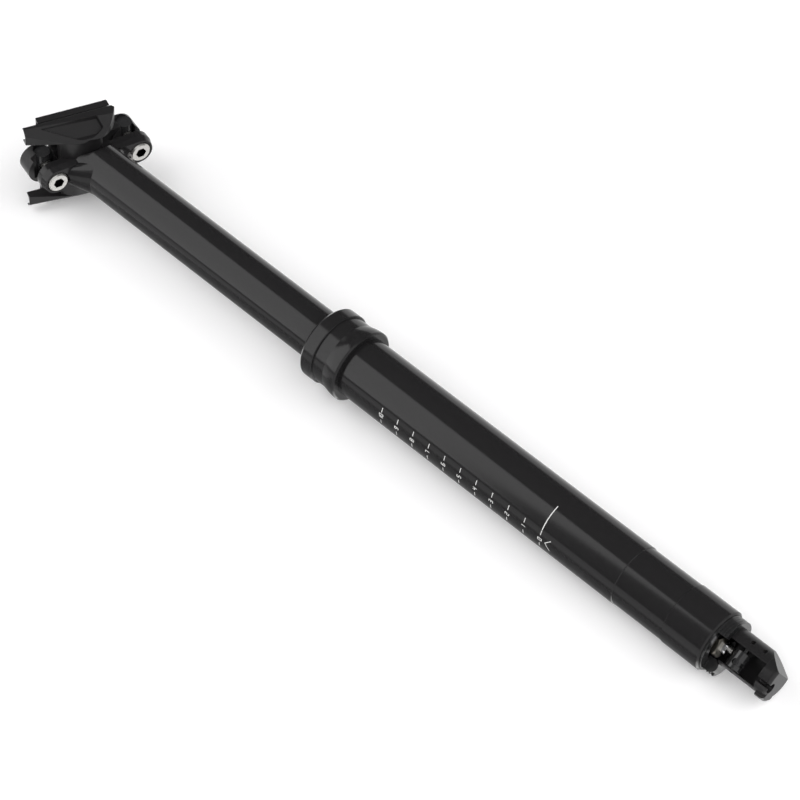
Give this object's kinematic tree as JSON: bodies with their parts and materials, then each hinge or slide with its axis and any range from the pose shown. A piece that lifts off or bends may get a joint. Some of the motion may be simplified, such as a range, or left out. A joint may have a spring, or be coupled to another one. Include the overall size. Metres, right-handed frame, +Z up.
{
  "type": "dropper seatpost",
  "caption": "Telescoping bicycle seatpost with a gas spring cartridge, a sealed collar, a cable-pulled valve lever at its foot and a bolted saddle-rail clamp on its head.",
  "frame": {"origin": "on the post's axis at the underside of the collar, where the frame's seat tube ends", "axes": "+Z up the post, +X forward, +Y left"},
  "size_m": [0.0632, 0.0514, 0.4698],
  "materials": {
    "black_anodised": "semi-gloss black anodised",
    "dark_machined": "satin black anodised",
    "bright_steel": "bright zinc plated",
    "polished_rod": "polished",
    "plain_alloy": "plain machined",
    "bearing_polymer": "matte",
    "seal_rubber": "matte",
    "key_brass": "plain",
    "black_steel": "black oxide"
  },
  "bodies": {
    "lower": {"lower_tube": "black_anodised", "seal_collar": "black_anodised", "wiper_seal": "seal_rubber", "collar_o_ring": "seal_rubber", "upper_bushing": "bearing_polymer", "base_plug": "dark_machined", "bottom_bumper": "seal_rubber", "cartridge_rod": "polished_rod", "rod_nut": "bright_steel", "piston": "plain_alloy", "piston_seal": "seal_rubber", "actuator_ring": "dark_machined", "actuator_cage": "dark_machined", "cable_end_block": "dark_machined", "lever_pivot_pin": "black_steel"},
    "upper": {"stanchion": "black_anodised", "lower_bushing": "bearing_polymer", "anti_rotation_keys": "key_brass", "cartridge_tube": "plain_alloy", "cartridge_gland": "plain_alloy", "rod_seal": "seal_rubber", "cartridge_retainer": "plain_alloy", "clamp_bolts": "bright_steel", "bolt_washers": "bright_steel"},
    "floating": {"floating_piston": "plain_alloy", "floating_piston_seal": "seal_rubber"},
    "valve": {"valve_pin": "bright_steel"},
    "lever": {"valve_lever": "dark_machined", "cable_barrel": "black_steel", "barrel_screw": "black_steel"},
    "cradle": {"rail_cradle": "dark_machined"},
    "top_clamp": {"upper_clamp": "dark_machined"},
    "rear_nut": {"rear_barrel_nut": "black_steel"},
    "front_nut": {"front_barrel_nut": "black_steel"}
  },
  "joints": [
    {"name": "saddle_drop", "type": "slide", "parent": "lower", "child": "upper", "axis": [0, 0, 1], "range_m": [-0.15, 0], "stiffness_N_per_m": 600, "springref_m": 0.35},
    {"name": "floating_slide", "type": "slide", "parent": "upper", "child": "floating", "axis": [0, 0, 1], "range_m": [0, 0.028]},
    {"name": "lever_pull", "type": "hinge", "parent": "lower", "child": "lever", "pos_m": [-0.00126, -0.0018, -0.2337], "axis": [0.8192, -0.5736, 0], "range_deg": [0, 20], "stiffness_Nm_per_rad": 0.005, "springref_deg": -20.05},
    {"name": "valve_push", "type": "slide", "parent": "lower", "child": "valve", "axis": [0, 0, 1], "range_m": [0, 0.0009]},
    {"name": "saddle_tilt", "type": "hinge", "parent": "upper", "child": "cradle", "pos_m": [-0.0015, 0, 0.2044], "axis": [0, 1, 0], "range_deg": [-7, 7]},
    {"name": "clamp_open", "type": "slide", "parent": "cradle", "child": "top_clamp", "axis": [0.2368, 0, 0.9715], "range_m": [0, 0.003]},
    {"name": "rear_nut_turn", "type": "hinge", "parent": "top_clamp", "child": "rear_nut", "pos_m": [-0.0182, 0, 0.20847], "axis": [0, 1, 0], "range_deg": [-8, 8]},
    {"name": "front_nut_turn", "type": "hinge", "parent": "top_clamp", "child": "front_nut", "pos_m": [0.02649, 0, 0.19758], "axis": [0, 1, 0], "range_deg": [-8, 8]}
  ],
  "couplings": [
    {"joint": "floating_slide", "follows": "saddle_drop", "ratio": -0.18499},
    {"joint": "lever_pull", "follows": "valve_push", "rad_per_m": 384.6},
    {"joint": "rear_nut_turn", "follows": "saddle_tilt", "ratio": -1},
    {"joint": "front_nut_turn", "follows": "saddle_tilt", "ratio": -1}
  ]
}
